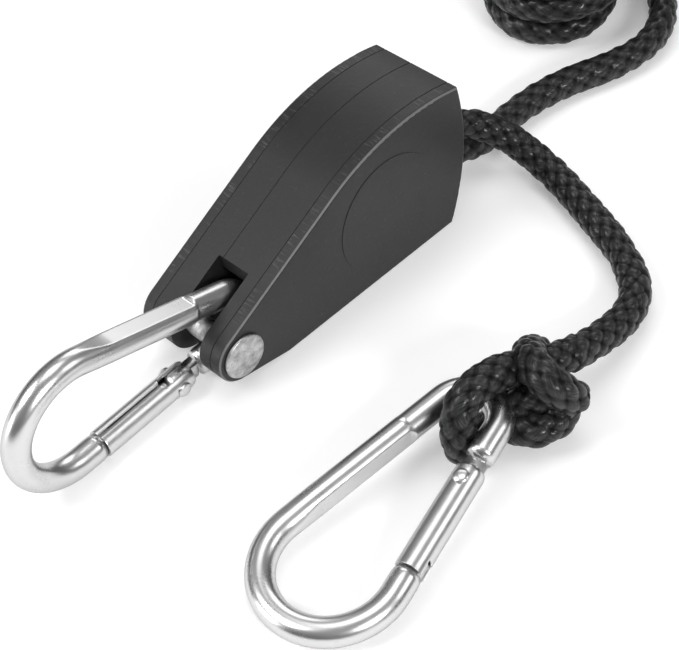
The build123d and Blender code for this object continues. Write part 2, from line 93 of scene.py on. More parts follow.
def grid_faces(rings: int, around: int, start: int = 0) -> Faces:
    """Quads between closed rings of points.

    Args:
        rings: Number of rings.
        around: Points in each ring.
        start: Number of the first point.

    Returns:
        The quads, facing outwards where the rings turn by the right hand along the path.
    """
    faces = []
    for ring in range(rings - 1):
        low = start + ring * around
        for k in range(around):
            n = (k + 1) % around
            faces.append((low + k, low + n, low + around + n, low + around + k))
    return faces


def capped_tube(rings: Sequence[Points], start: int = 0) -> tuple[Points, Faces]:
    """A closed skin over rings of points, its ends closed by fans.

    Args:
        rings: The rings, each with the same number of points.
        start: Number of the first point.

    Returns:
        All the points, and the faces.
    """
    around = len(rings[0])
    points = np.vstack([*rings, rings[0].mean(0)[None], rings[-1].mean(0)[None]])
    faces = grid_faces(len(rings), around, start)
    first, last = start + len(rings) * around, start + len(rings) * around + 1
    low = start + (len(rings) - 1) * around
    for k in range(around):
        n = (k + 1) % around
        faces.append((first, start + n, start + k))
        faces.append((last, low + k, low + n))
    return points, faces


def joined(parts: Sequence[tuple[Points, Faces]]) -> tuple[Points, Faces]:
    """Put several closed skins together.

    Args:
        parts: Each skin's points and faces, its faces numbered from nought.

    Returns:
        All the points and faces.
    """
    points, faces, start = [], [], 0
    for part_points, part_faces in parts:
        points.append(part_points)
        faces += [tuple(k + start for k in face) for face in part_faces]
        start += len(part_points)
    return np.vstack(points), faces


def carried(matrix: Matrix, points: Points) -> Points:
    """Points given in millimetres in a piece's own frame, as metres in the row's frame."""
    turn = np.array(matrix.to_3x3())
    return (points @ turn.T + np.array(matrix.translation)) * MM


def lathe(profile: Sequence[tuple[float, float]], around: int = 48) -> tuple[Points, Faces]:
    """A turned piece about Z.

    Args:
        profile: Radius and height of each ring, in millimetres, from the bottom up.
        around: Points round each ring.

    Returns:
        The closed skin's points and faces.
    """
    turn = np.linspace(0, 2 * math.pi, around, endpoint=False)
    circle = np.stack([np.cos(turn), np.sin(turn), np.zeros(around)], 1)
    rings = [circle * [r, r, 0] + [0, 0, z] for r, z in profile]
    return capped_tube(rings)


def rounded_block(low: Sequence[float], high: Sequence[float], radius: float) -> tuple[Points, Faces]:
    """A block with its edges rounded.

    Args:
        low: Its lowest corner, in millimetres.
        high: Its highest corner.
        radius: Rounding of the edges.

    Returns:
        The closed skin's points and faces.
    """
    block = bmesh.new()
    bmesh.ops.create_cube(block, size=1.0)
    size = Vector(high) - Vector(low)
    middle = (Vector(high) + Vector(low)) / 2
    for vertex in block.verts:
        vertex.co = Vector(a * b for a, b in zip(vertex.co, size)) + middle
    bmesh.ops.bevel(block, geom=block.edges[:], offset=radius, segments=3, profile=0.5, affect="EDGES")
    points = np.array([v.co[:] for v in block.verts])
    faces = [tuple(v.index for v in f.verts) for f in block.faces]
    block.free()
    return points, faces


def sheet_skin(outer: Points, inner: Points, held: np.ndarray) -> tuple[Points, Faces]:
    """A sheet of some thickness with cells left out.

    Args:
        outer: Rows of points on its outer face.
        inner: The same rows on its inner face.
        held: Which cells between the points are there.

    Returns:
        The closed skin's points and faces.
    """
    rows, across = outer.shape[:2]
    points = np.vstack([outer.reshape(-1, 3), inner.reshape(-1, 3)])
    back = rows * across
    faces = []
    for row in range(rows - 1):
        for k in range(across - 1):
            if not held[row, k]:
                continue
            low = row * across + k
            cell = (low, low + 1, low + across + 1, low + across)
            faces.append(cell)
            faces.append(tuple(n + back for n in reversed(cell)))
            beside = ((row - 1, k), (row, k + 1), (row + 1, k), (row, k - 1))
            for side, (r, c) in enumerate(beside):
                outside = not (0 <= r < rows - 1 and 0 <= c < across - 1) or not held[r, c]
                if outside:
                    first, second = cell[side], cell[(side + 1) % 4]
                    faces.append((second, first, first + back, second + back))
    return points, faces


@contextmanager
def open_mesh(piece: bpy.types.Object) -> Iterator[bmesh.types.BMesh]:
    """Open a piece's mesh for editing, and write it back.

    Args:
        piece: The piece.

    Yields:
        The mesh, open.
    """
    shape = bmesh.new()
    shape.from_mesh(piece.data)
    yield shape
    shape.to_mesh(piece.data)
    shape.free()


def apply_modifiers(piece: bpy.types.Object) -> None:
    """Turn a piece's modifiers into its mesh.

    Args:
        piece: The piece.
    """
    graph = bpy.context.evaluated_depsgraph_get()
    made = bpy.data.meshes.new_from_object(piece.evaluated_get(graph))
    made.materials.clear()
    for material in piece.data.materials:
        made.materials.append(material)
    piece.modifiers.clear()
    piece.data = made


def soften(piece: bpy.types.Object, width: float, bent: float, sharp: float) -> None:
    """Round a piece's sharp edges and shade the rest smooth.

    Args:
        piece: The piece.
        width: Width of the rounding, in metres.
        bent: Edges sharper than this are rounded, in degrees.
        sharp: Edges sharper than this stay sharp in the shading, in degrees.
    """
    edge = piece.modifiers.new("edge", "BEVEL")
    edge.width = width
    edge.segments = 2
    edge.limit_method = "ANGLE"
    edge.angle_limit = math.radians(bent)
    apply_modifiers(piece)
    with open_mesh(piece) as shape:
        for face in shape.faces:
            face.smooth = True
        for edge in shape.edges:
            edge.smooth = len(edge.link_faces) != 2 or edge.calc_face_angle(0.0) < math.radians(sharp)


def cleaned(piece: bpy.types.Object, distance: float, degrees: float) -> None:
    """Join a mesh's doubled points, and its triangles that lie in one plane.

    Args:
        piece: The piece.
        distance: Points closer than this are joined, in metres.
        degrees: Triangles that turn by less than this are joined.
    """
    with open_mesh(piece) as shape:
        bmesh.ops.remove_doubles(shape, verts=shape.verts[:], dist=distance)
    if piece.data.has_custom_normals:
        piece.data.attributes.remove(piece.data.attributes["custom_normal"])
    with open_mesh(piece) as shape:
        bmesh.ops.dissolve_limit(
            shape, angle_limit=math.radians(degrees), verts=shape.verts[:], edges=shape.edges[:],
        )


def directions(line: Points) -> Points:
    """The unit direction of a line at each of its points."""
    forward = np.gradient(line, axis=0)
    return forward / np.linalg.norm(forward, axis=1)[:, None]


def rings_along(line: Points, radius: Any, angle: Points) -> list[Points]:
    """Rings of points round a line that don't twist along it.

    Args:
        line: The line's points.
        radius: The rings' radius, one number or a row for each ring.
        angle: A row of angles for each ring, in radians.

    Returns:
        The rings.
    """
    forward = directions(line)
    side = np.zeros_like(line)
    first = np.array((0, 0, 1), float)
    first -= forward[0] * (first @ forward[0])
    side[0] = first / np.linalg.norm(first)
    for k in range(1, len(line)):
        kept = side[k - 1] - forward[k] * (side[k - 1] @ forward[k])
        side[k] = kept / np.linalg.norm(kept)
    cross = np.cross(forward, side)
    rings = (
        line[:, None, :]
        + side[:, None, :] * (radius * np.cos(angle))[:, :, None]
        + cross[:, None, :] * (radius * np.sin(angle))[:, :, None]
    )
    return list(rings)


def slow_noise(count: int, step: float, reach: float, seed: int) -> np.ndarray:
    """A smooth random line.

    Args:
        count: Number of values.
        step: Distance between values.
        reach: Distance over which the values change.
        seed: Fixes the draw.

    Returns:
        Values of about -1 to 1.
    """
    draw = np.random.default_rng(seed)
    knots = max(4, int(count * step / reach) + 3)
    heights = draw.uniform(-1, 1, knots)
    place = np.linspace(0, knots - 1.001, count)
    low = place.astype(int)
    share = eased(place - low)
    return heights[low] * (1 - share) + heights[np.minimum(low + 1, knots - 1)] * share


# ---------------------------------------------------------------- shading
def operator(operation: str, swapped: bool = False) -> Callable[["Val", Any], "Val"]:
    """A method of a socket that adds a Math node.

    Args:
        operation: The node's operation.
        swapped: Whether the socket stands on the right.

    Returns:
        The method.
    """
    def method(self: "Val", other: Any) -> "Val":
        """Add the node and give back its result."""
        first, second = (other, self) if swapped else (self, other)
        return self.graph.node("ShaderNodeMath", {"operation": operation}, {0: first, 1: second})

    return method


class Val:
    """A shader socket that takes part in arithmetic."""

    def __init__(self, graph: "Graph", socket: bpy.types.NodeSocket) -> None:
        """Wrap a socket of a graph."""
        self.graph = graph
        self.socket = socket

    __add__, __radd__ = operator("ADD"), operator("ADD", True)
    __sub__, __rsub__ = operator("SUBTRACT"), operator("SUBTRACT", True)
    __mul__, __rmul__ = operator("MULTIPLY"), operator("MULTIPLY", True)


class Graph:
    """A material's nodes round one Principled shader."""

    def __init__(self, name: str) -> None:
        """Start an empty material with its shader.

        Args:
            name: The material's name.
        """
        self.material = bpy.data.materials.new(name)
        self.material.use_nodes = True
        self.tree = self.material.node_tree
        self.shader = self.tree.nodes["Principled BSDF"]

    def node(self, kind: str, settings: dict[str, Any], inputs: dict[Any, Any], output: Any = 0) -> Val:
        """Add a node.

        Args:
            kind: The node's type.
            settings: Its settings; "stops" holds a ramp's places and greys.
            inputs: Values or sockets for its inputs.
            output: Which output to give back.

        Returns:
            The chosen output.
        """
        made = self.tree.nodes.new(kind)
        for key, value in settings.items():
            if key == "stops":
                self.set_stops(made.color_ramp, value)
            else:
                setattr(made, key, value)
        for key, value in inputs.items():
            if isinstance(value, Val):
                self.tree.links.new(value.socket, made.inputs[key])
            else:
                made.inputs[key].default_value = value
        return Val(self, made.outputs[output])

    @staticmethod
    def set_stops(ramp: bpy.types.ColorRamp, stops: Sequence[tuple[float, float]]) -> None:
        """Give a ramp its places and greys.

        Args:
            ramp: The ramp.
            stops: Each stop's place and grey.
        """
        while len(ramp.elements) < len(stops):
            ramp.elements.new(1.0)
        for element, (place, level) in zip(ramp.elements, stops):
            element.position = place
            element.color = grey(level)

    def ramp(self, value: Val, *stops: tuple[float, float]) -> Val:
        """Turn a value into a grey by a ramp's (place, grey) stops."""
        return self.node("ShaderNodeValToRGB", {"stops": stops}, {0: value})

    def attribute(self, name: str) -> Val:
        """A number that the mesh holds at each point."""
        return self.node("ShaderNodeAttribute", {"attribute_name": name}, {}, "Fac")

    def coordinates(self) -> Val:
        """The piece's own coordinates, in metres."""
        return self.node("ShaderNodeTexCoord", {}, {}, "Object")

    def noise(self, scale: float, detail: float = 2.0, vector: Val | None = None, rough: float = 0.5) -> Val:
        """Add a noise texture.

        Args:
            scale: Waves per metre.
            detail: Layers of finer noise.
            vector: Its coordinates, the piece's own if none.
            rough: Strength of the finer layers.

        Returns:
            The noise, from 0 to 1.
        """
        inputs = {"Scale": scale, "Detail": detail, "Roughness": rough}
        inputs["Vector"] = vector or self.coordinates()
        return self.node("ShaderNodeTexNoise", {}, inputs)

    def mix(self, share: Any, first: Any, second: Any) -> Val:
        """Mix two colours."""
        inputs = {0: share, 6: first, 7: second}
        return self.node("ShaderNodeMix", {"data_type": "RGBA"}, inputs, 2)

    def bump(self, height: Val, depth: float, strength: float = 1.0) -> Val:
        """Add a bump of the given depth in metres."""
        inputs = {"Height": height, "Distance": depth, "Strength": strength}
        return self.node("ShaderNodeBump", {}, inputs)

    def feed(self, socket: str, value: Any) -> None:
        """Give the shader a value, or link a socket to it.

        Args:
            socket: The shader's socket.
            value: A constant, or the result of other nodes.
        """
        if isinstance(value, Val):
            self.tree.links.new(value.socket, self.shader.inputs[socket])
        else:
            self.shader.inputs[socket].default_value = value


def grey(level: float, warmth: float = 0.0) -> tuple[float, float, float, float]:
    """A grey with a slight warm or cool tint."""
    return (level * (1 + warmth), level, level * (1 - warmth), 1.0)


@dataclass(frozen=True)
class PolishedZinc:
    """Bright plated steel with soft reflections, a faint drawn grain and small rub marks."""

    name: str = "bright_zinc"
    level: float = 0.70
    roughness: float = 0.22
    cloud_scale: float = 160.0
    grain_scale: float = 2600.0
    edge_tint: float = 0.62

    def make(self) -> bpy.types.Material:
        """Build the material.

        Returns:
            The material.
        """
        g = Graph(self.name)
        cloud = g.noise(self.cloud_scale, 3.0)
        grain = g.noise(self.grain_scale, 4.0)
        rub = g.ramp(g.noise(520.0, 5.0, rough=0.75), (0.58, 0.0), (0.68, 1.0))
        tint = g.mix(cloud, grey(self.level * 0.90, -0.006), grey(self.level, 0.004))
        g.feed("Base Color", g.mix(0.25 * rub, tint, grey(self.level * 0.78)))
        g.feed("Metallic", 1.0)
        g.feed("Specular Tint", grey(self.edge_tint))
        g.feed("Roughness", self.roughness + 0.08 * cloud + 0.05 * grain + 0.08 * rub)
        g.feed("Normal", g.bump(cloud + 0.05 * grain, 0.012 * MM, 0.6))
        return g.material


@dataclass(frozen=True)
class MouldedPlastic:
    """Black moulded plastic: a fine spark texture, faint flow marks, scuffs, drag ticks by the rims, and a painted
    highlight along the rounded rims.
    """

    name: str = "black_moulding"
    level: float = 0.011
    roughness: float = 0.40
    grain_scale: float = 1500.0
    grain_depth: float = 0.035
    flow_scale: float = 60.0
    tick_from: float = 0.0084
    tick_to: float = 0.0103
    # The band over the rounded rims and its lighter grey are a painted highlight.
    rim_highlight_from: float = 0.01062
    rim_highlight_to: float = 0.01094
    rim_highlight_level: float = 0.13

    def make(self) -> bpy.types.Material:
        """Build the material.

        Returns:
            The material.
        """
        g = Graph(self.name)
        grain = g.noise(self.grain_scale, 4.0, rough=0.7)
        flow = g.noise(self.flow_scale, 4.0, rough=0.6)
        fleck = g.ramp(g.noise(self.grain_scale * 0.8, 3.0, rough=0.75), (0.60, 0.0), (0.74, 1.0))
        scuff = g.ramp(g.noise(240.0, 5.0, rough=0.75), (0.60, 0.0), (0.70, 1.0))
        marks = scuff * fleck
        ticks = self.ticks(g)
        base = g.mix(flow, grey(self.level * 0.7, -0.02), grey(self.level * 1.6, -0.01))
        worn = g.mix(0.45 * fleck + 0.55 * marks, base, grey(self.level * 4.5))
        rubbed = g.mix(0.45 * ticks, worn, grey(self.level * 9.0))
        # The lighter grey in the band over the rounded rims is a painted highlight.
        g.feed("Base Color", g.mix(self.band(g, self.rim_highlight_from, self.rim_highlight_to), rubbed, grey(self.rim_highlight_level)))
        g.feed("Roughness", self.roughness + 0.30 * flow + 0.14 * grain - 0.16)
        g.feed("Specular IOR Level", 0.42)
        g.feed("Normal", g.bump(grain + 0.4 * fleck + 0.5 * ticks, self.grain_depth * MM, 0.8))
        return g.material

    def ticks(self, g: Graph) -> Val:
        """Short light marks across the band beside each rim.

        Args:
            g: The material's graph.

        Returns:
            Their strength, from 0 to 1.
        """
        scaled = {0: g.coordinates(), 1: (1, 0.12, 1)}
        stretch = g.node("ShaderNodeVectorMath", {"operation": "MULTIPLY"}, scaled)
        streak = g.ramp(g.noise(2400.0, 2.0, stretch), (0.55, 0.0), (0.66, 1.0))
        patch = g.ramp(g.noise(110.0, 2.0), (0.38, 0.0), (0.54, 1.0))
        return self.band(g, self.tick_from, self.tick_to) * streak * patch

    @staticmethod
    def band(g: Graph, start: float, end: float) -> Val:
        """Where a point's distance from the middle plane lies between two values.

        Args:
            g: The material's graph.
            start: The lesser distance, in metres.
            end: The greater distance.

        Returns:
            1 inside the band and 0 outside.
        """
        across = g.node("ShaderNodeSeparateXYZ", {}, {0: g.coordinates()}, "Y")
        away = g.node("ShaderNodeMath", {"operation": "ABSOLUTE"}, {0: across})
        inside = g.node("ShaderNodeMath", {"operation": "GREATER_THAN"}, {0: away, 1: start})
        outside = g.node("ShaderNodeMath", {"operation": "LESS_THAN"}, {0: away, 1: end})
        return inside * outside


@dataclass(frozen=True)
class SatinRivet:
    """Satin steel, mottled and a little pitted where it was struck."""

    name: str = "satin_rivet"
    level: float = 0.50
    roughness: float = 0.26

    def make(self) -> bpy.types.Material:
        """Build the material.

        Returns:
            The material.
        """
        g = Graph(self.name)
        mottle = g.ramp(g.noise(520.0, 5.0, rough=0.7), (0.36, 0.0), (0.66, 1.0))
        pit = g.ramp(g.noise(1500.0, 3.0, rough=0.7), (0.58, 0.0), (0.70, 1.0))
        tone = g.mix(mottle, grey(self.level * 0.60), grey(self.level * 1.30))
        g.feed("Base Color", g.mix(0.5 * pit, tone, grey(self.level * 0.35)))
        g.feed("Metallic", 1.0)
        g.feed("Specular Tint", grey(0.7))
        g.feed("Roughness", self.roughness + 0.22 * mottle)
        g.feed("Normal", g.bump(mottle - 0.6 * pit, 0.06 * MM, 0.9))
        return g.material


@dataclass(frozen=True)
class PlainSteel:
    """Plated or dark steel for pins, screws, springs and the pawl."""

    name: str
    level: float
    roughness: float

    def make(self) -> bpy.types.Material:
        """Build the material.

        Returns:
            The material.
        """
        g = Graph(self.name)
        cloud = g.noise(420.0, 3.0)
        g.feed("Base Color", g.mix(cloud, grey(self.level * 0.8), grey(self.level * 1.1)))
        g.feed("Metallic", 1.0)
        g.feed("Roughness", self.roughness + 0.12 * cloud)
        g.feed("Normal", g.bump(g.noise(2400.0, 3.0), 0.008 * MM, 0.6))
        return g.material


@dataclass(frozen=True)
class BraidedFilament:
    """Glossy black filament, laid in strands: it reads the braid's own strand coordinates, darkens the valleys
    between the strands as painted shade, and lightens the thread streaks on the crowns as a painted highlight.
    """

    name: str = "black_filament"
    level: float = 0.0065
    shine: float = 0.34
    threads: float = 24.0

    def make(self) -> bpy.types.Material:
        """Build the material.

        Returns:
            The material.
        """
        g = Graph(self.name)
        across, along, crest = (g.attribute(name) for name in ("strand", "run", "crest"))
        place = g.node("ShaderNodeCombineXYZ", {}, {0: across * self.threads, 1: along * 1.4, 2: 0.0})
        thread = g.noise(1.0, 3.0, place, 0.6)
        fuzz = g.noise(2300.0, 3.0, rough=0.7)
        # The crowns keep the filament's grey; the valleys between the strands are painted nearly black as shade.
        crown = g.ramp(crest, (0.45, 0.0), (0.88, 1.0))
        valley_shade = g.mix(crown, grey(self.level * 0.1), grey(self.level, -0.03))
        pale = g.ramp(thread, (0.42, 0.0), (0.70, 1.0))
        # The pale threads on the crowns are painted a lighter grey as a highlight.
        g.feed("Base Color", g.mix(pale * crown, valley_shade, grey(self.level * 7.0, -0.02)))
        g.feed("Roughness", self.shine + 0.24 * thread + 0.08 * fuzz)
        g.feed("Specular IOR Level", 0.16)
        g.feed("Coat Weight", crown * (0.22 + 0.85 * pale))
        g.feed("Coat Roughness", 0.26)
        g.feed("Normal", g.bump(thread + 0.15 * fuzz, 0.14 * MM, 0.9))
        return g.material


class Finish(Enum):
    """The hanger's finishes, each with the record slot that it stands for."""

    ZINC = ("hook_wire", PolishedZinc())
    SHEET = ("gate_sheet", PolishedZinc("bright_sheet", 0.70, 0.24, 210.0))
    PLASTIC = ("housing", MouldedPlastic())
    RIVET = ("rivet", SatinRivet())
    PIN = ("pins", PlainSteel("plated_pin", 0.66, 0.24))
    SCREW = ("screws", PlainSteel("dark_screw", 0.30, 0.34))
    SPRING = ("spring_wire", PlainSteel("spring_wire", 0.55, 0.28))
    PAWL = ("pawl", PlainSteel("dark_steel", 0.28, 0.38))
    WHEEL = ("wheel", MouldedPlastic("wheel_moulding", 0.030, 0.32, tick_from=1.0, rim_highlight_from=1.0))
    ROPE = ("rope", BraidedFilament())

    @property
    def slot(self) -> str:
        """The record's slot."""
        return self.value[0]


class Paints:
    """Makes each finish once and dresses pieces with it."""

    def __init__(self) -> None:
        """Make every finish."""
        self.materials = {finish: finish.value[1].make() for finish in Finish}

    def dress(self, piece: bpy.types.Object, finish: Finish) -> None:
        """Give a new piece its finish.

        Args:
            piece: The piece.
            finish: Its finish.
        """
        piece.data.materials.clear()
        piece.data.materials.append(self.materials[finish])

    def stand_in(self, piece: bpy.types.Object, finish: Finish, body: str, *nodes: str) -> None:
        """Dress a new piece and put it in place of its nodes.

        Args:
            piece: The piece.
            finish: Its finish.
            body: The body it rides on.
            nodes: The nodes it replaces.
        """
        self.dress(piece, finish)
        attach(piece, body)
        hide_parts(*nodes)
        LOG.info("piece %s: %d faces", piece.name, len(piece.data.polygons))

    def dress_node(self, node: str, finish: Finish) -> None:
        """Give a frame node its finish.

        Args:
            node: The node's name.
            finish: Its finish.
        """
        piece = frame["nodes"][node]
        for slot in piece.material_slots:
            slot.material = self.materials[finish]
        if not piece.material_slots:
            piece.data.materials.append(self.materials[finish])


# ---------------------------------------------------------------- rope
@dataclass
class Braid:
    """A round braid: strands of two hands that pass over and under each other."""

    diameter: float = 6.4
    strands_each_way: int = 5
    lay: float = 4.3
    relief: float = 0.62
    lift: float = 0.60
    narrow: float = 1.8
    samples: int = 60
    spacing: float = 0.27
    end_taper: float = 1.6

    def heights(self, turn: np.ndarray, run: np.ndarray) -> tuple[np.ndarray, np.ndarray, np.ndarray]:
        """The braid's surface.

        Args:
            turn: Place round the rope, in turns.
            run: Place along it, in millimetres.

        Returns:
            The height in strand crowns, the place across the strand on top, and the place along it.
        """
        first = self.strands_each_way * turn + run / self.lay
        second = self.strands_each_way * turn - run / self.lay
        first_number, second_number = np.round(first), np.round(second)
        first_side, second_side = first - first_number, second - second_number
        sides = (first_side, second_side)
        crown = [np.sqrt(np.maximum(0.0, 1 - (self.narrow * side) ** 2)) for side in sides]
        over = self.lift * np.cos(math.pi * (second + first_number))
        under = -self.lift * np.cos(math.pi * (first + second_number))
        left, right = crown[0] + over, crown[1] + under
        top = left >= right
        wrap = self.strands_each_way
        first_strand = first_side + np.mod(first_number, wrap) * 3.7
        second_strand = second_side + 31 + second_number % wrap * 5.3
        strand = np.where(top, first_strand, second_strand)
        return np.maximum(left, right), strand, np.where(top, second, first)

    def tube(self, name: str, line: Points, seed: int, closed_end: bool = False) -> bpy.types.Object:
        """Cover a line with braid.

        Args:
            name: The piece's name.
            line: Evenly spaced points along the rope's middle, in metres.
            seed: Fixes its unevenness.
            closed_end: Whether the far end is drawn in and sealed.

        Returns:
            The rope as one closed mesh with its strand attributes.
        """
        count = len(line)
        step = np.linalg.norm(np.diff(line, axis=0), axis=1).mean() / MM
        run = (np.arange(count) * step)[:, None]
        twist = 0.10 * slow_noise(count, step, 24.0, seed)[:, None]
        swell = 1 + 0.035 * slow_noise(count, step, 9.0, seed + 1)[:, None]
        flat = 0.045 * slow_noise(count, step, 17.0, seed + 2)[:, None]
        lean = math.pi * slow_noise(count, step, 40.0, seed + 3)[:, None]
        turn = np.linspace(0, 1, self.samples, endpoint=False)[None, :]
        height, strand, along = self.heights(turn + twist, run + 0 * turn)
        angle = 2 * math.pi * turn + 0 * run
        oval = 1 + flat * np.cos(2 * (angle - lean))
        limit = self.diameter / 2
        radius = (limit - self.relief * (1 + self.lift - height)) * swell * oval
        radius = np.minimum(radius, limit)
        if closed_end:
            left = (count - 1 - np.arange(count))[:, None] * step
            radius = radius * np.sqrt(np.clip(left / self.end_taper, 0.06, 1.0))
        points, faces = capped_tube(rings_along(line, radius * MM, angle))
        piece = mesh_object(name, points, faces)
        crest = height / (1 + self.lift)
        for key, values in (("strand", strand), ("run", along), ("crest", crest)):
            padded = np.concatenate([values.ravel(), np.zeros(2)]).astype(np.float32)
            piece.data.attributes.new(key, "FLOAT", "POINT").data.foreach_set("value", padded)
        return piece


@dataclass
class Route:
    """A smooth line through the air or over the floor, from a few points in millimetres."""

    points: list[tuple[float, float, float]]

    def line(self, spacing: float) -> Points:
        """Read evenly spaced points from the route's spline.

        Args:
            spacing: Distance between points, in millimetres.

        Returns:
            The points, in metres.
        """
        curve = bpy.data.curves.new("route", "CURVE")
        curve.dimensions = "3D"
        curve.resolution_u = 24
        spline = curve.splines.new("NURBS")
        spline.points.add(len(self.points) - 1)
        for held, point in zip(spline.points, self.points):
            held.co = (*(value * MM for value in point), 1.0)
        spline.order_u = 3
        spline.use_endpoint_u = True
        holder = bpy.data.objects.new("route", curve)
        bpy.context.scene.collection.objects.link(holder)
        mesh = bpy.data.meshes.new_from_object(holder)
        dense = np.array([vertex.co[:] for vertex in mesh.vertices])
        bpy.data.objects.remove(holder)
        bpy.data.curves.remove(curve)
        bpy.data.meshes.remove(mesh)
        gaps = np.linalg.norm(np.diff(dense, axis=0), axis=1)
        place = np.concatenate([[0.0], np.cumsum(gaps)])
        count = max(8, int(round(place[-1] / (spacing * MM))) + 1)
        even = np.linspace(0, place[-1], count)
        return np.stack([np.interp(even, place, dense[:, k]) for k in range(3)], 1)


@dataclass
class Hank:
    """The spare rope, folded into a flat oval bundle with a few turns round it."""

    centre: tuple[float, float] = (114.2, 36.6)
    angle: float = 38.0
    length: float = 101.0
    outer: float = 17.6
    inner: float = 9.7
    first_layer: float = 3.25
    layer_gap: float = 6.1
    rope_half: float = 3.3
    band: float = -20.0
    band_reach: float = 15.0
    squeeze: float = 0.22
    band_lift: float = 4.2
    band_turns: float = 3.25
    band_pitch: float = 6.6
    per_turn: int = 16
    crossing: float = 0.28
    seed: int = 8

    def placed(self, points: Points) -> list[tuple[float, float, float]]:
        """Carry points out of the hank's own frame.

        Args:
            points: Points in that frame, in millimetres.

        Returns:
            The same points in the row's frame.
        """
        turn = math.radians(self.angle)
        c, s = math.cos(turn), math.sin(turn)
        x = self.centre[0] + points[:, 0] * c - points[:, 1] * s
        y = self.centre[1] + points[:, 0] * s + points[:, 1] * c
        return [tuple(map(float, p)) for p in np.stack([x, y, points[:, 2]], 1)]

    def oval(self, share: float, radius: float, half: float) -> tuple[float, float]:
        """A place on a long oval.

        Args:
            share: Share of the turn, from the middle of the near side, by the right hand.
            radius: Radius of its ends.
            half: Half its length along the middle of the rope.

        Returns:
            X and Y in the hank's frame, in millimetres.
        """
        straight = half - radius
        around = 4 * straight + 2 * math.pi * radius
        run = (share % 1.0) * around
        if run < straight:
            return run, -radius
        run -= straight
        if run < math.pi * radius:
            bend = run / radius
            return straight + radius * math.sin(bend), -radius * math.cos(bend)
        run -= math.pi * radius
        if run < 2 * straight:
            return straight - run, radius
        run -= 2 * straight
        if run < math.pi * radius:
            bend = run / radius
            return -straight - radius * math.sin(bend), radius * math.cos(bend)
        return run - math.pi * radius - straight, -radius

    def points(self) -> list[tuple[float, float, float]]:
        """The bundle's turns and the band's turns.

        Returns:
            Their route points, in millimetres.
        """
        draw = np.random.default_rng(self.seed)
        order = [(layer, ring) for layer in range(4) for ring in ((0, 1), (1, 0))[layer % 2]]
        radii = [(self.outer, self.inner)[ring] + draw.uniform(-0.5, 0.3) for _, ring in order]
        floors = [self.first_layer + self.layer_gap * layer for layer, _ in order]
        longest = self.length / 2 - self.rope_half - self.outer
        halves = [longest + radius - draw.uniform(0.0, 2.5) for radius in radii]
        made = []
        total = len(order) * self.per_turn
        for k in range(total + 1):
            place = k / self.per_turn
            low = min(int(place), len(order) - 1)
            high = min(low + 1, len(order) - 1)
            share = eased(min(1.0, max(0.0, (place - low - 1 + self.crossing) / self.crossing)))
            radius = radii[low] * (1 - share) + radii[high] * share
            half = halves[low] * (1 - share) + halves[high] * share
            floor = floors[low] * (1 - share) + floors[high] * share
            x, y = self.oval(place - 0.04, radius, half)
            near = math.exp(-((x - self.band) / self.band_reach) ** 2)
            level = floor * (1 - 0.10 * near) + self.band_lift * near
            made.append((x, y * (1 - self.squeeze * near), level))
        made += self.band_points()
        return self.placed(np.array(made))

    def band_points(self) -> list[tuple[float, float, float]]:
        """The turns wound round the bundle from its last turn.

        Returns:
            Their route points in the hank's frame, in millimetres.
        """
        wide, tall, middle = 18.3, 13.2, 16.5
        made = []
        count = int(self.band_turns * self.per_turn)
        for k in range(1, count + 1):
            place = k / self.per_turn
            turn = 2 * math.pi * place - 1.25
            x = self.band - 7.0 + self.band_pitch * place
            lean = 2.2 * math.sin(turn + 0.6)
            made.append((x + lean, -wide * math.cos(turn + 0.9), middle + tall * math.sin(turn + 0.9)))
        return made


